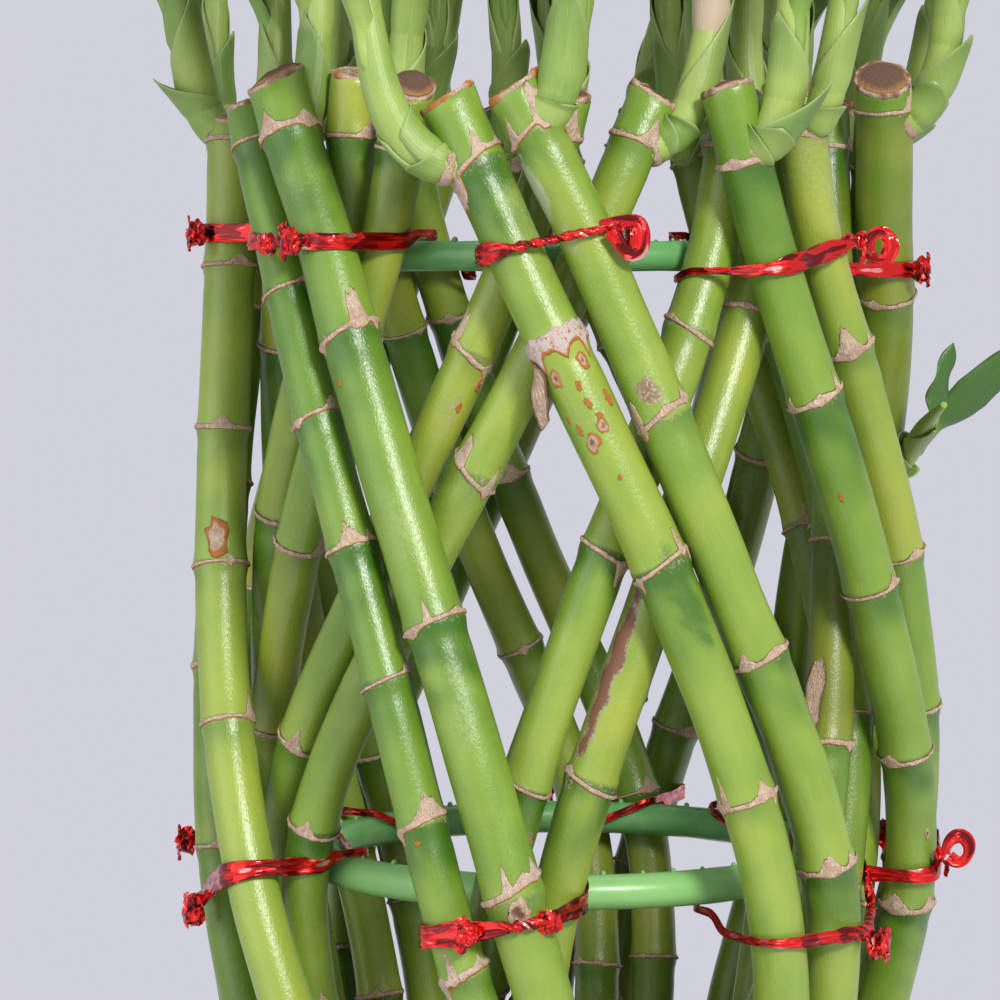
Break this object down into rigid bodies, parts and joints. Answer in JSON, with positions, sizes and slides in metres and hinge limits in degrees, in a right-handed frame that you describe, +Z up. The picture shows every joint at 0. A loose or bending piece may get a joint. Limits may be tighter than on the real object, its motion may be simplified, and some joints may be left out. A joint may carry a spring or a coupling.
{
  "type": "lattice-trained lucky bamboo in a bowl",
  "caption": "House plant: green cane stalks trained into a round open lattice, tied to hoops with foil twist ties, leafy at the top, standing in a bowl of pebbles.",
  "frame": {"origin": "centre of the bowl's flat base, on the surface that it stands on", "axes": "+Z up along the lattice's axis; -Y is the side that the picture looks at; +X is to its right"},
  "size_m": [0.2727, 0.2586, 0.4124],
  "materials": {
    "cane": "glossy living green cane with tan rings and dry sheath scars; leaves a deeper satin green",
    "hoop": "glossy green coating",
    "tie": "crumpled red metallic foil",
    "bowl": "off-white gloss glaze",
    "gravel": "smooth river pebbles"
  },
  "bodies": {
    "root": {"bowl": "bowl", "gravel": "gravel", "hoop_upper": "hoop", "hoop_lower": "hoop", "tie_upper_1": "tie", "tie_upper_2": "tie", "tie_upper_3": "tie", "tie_upper_4": "tie", "tie_upper_5": "tie", "tie_upper_6": "tie", "tie_upper_7": "tie", "tie_upper_8": "tie", "tie_lower_1": "tie", "tie_lower_2": "tie", "tie_lower_3": "tie", "tie_lower_4": "tie", "tie_lower_5": "tie", "tie_lower_6": "tie", "tie_lower_7": "tie", "tie_lower_8": "tie", "stalk_outer_1a": "cane", "stalk_outer_1b": "cane", "stalk_outer_2a": "cane", "stalk_outer_2b": "cane", "stalk_outer_3a": "cane", "stalk_outer_3b": "cane", "stalk_outer_4a": "cane", "stalk_outer_4b": "cane", "stalk_outer_5a": "cane", "stalk_outer_5b": "cane", "stalk_outer_6a": "cane", "stalk_outer_6b": "cane", "stalk_outer_7a": "cane", "stalk_outer_7b": "cane", "stalk_outer_8a": "cane", "stalk_outer_8b": "cane", "stalk_inner_1a": "cane", "stalk_inner_1b": "cane", "stalk_inner_2a": "cane", "stalk_inner_2b": "cane", "stalk_inner_3a": "cane", "stalk_inner_3b": "cane", "stalk_inner_4a": "cane", "stalk_inner_4b": "cane", "stalk_inner_5a": "cane", "stalk_inner_5b": "cane", "stalk_inner_6a": "cane", "stalk_inner_6b": "cane", "stalk_inner_7a": "cane", "stalk_inner_7b": "cane", "stalk_inner_8a": "cane", "stalk_inner_8b": "cane"}
  },
  "joints": []
}
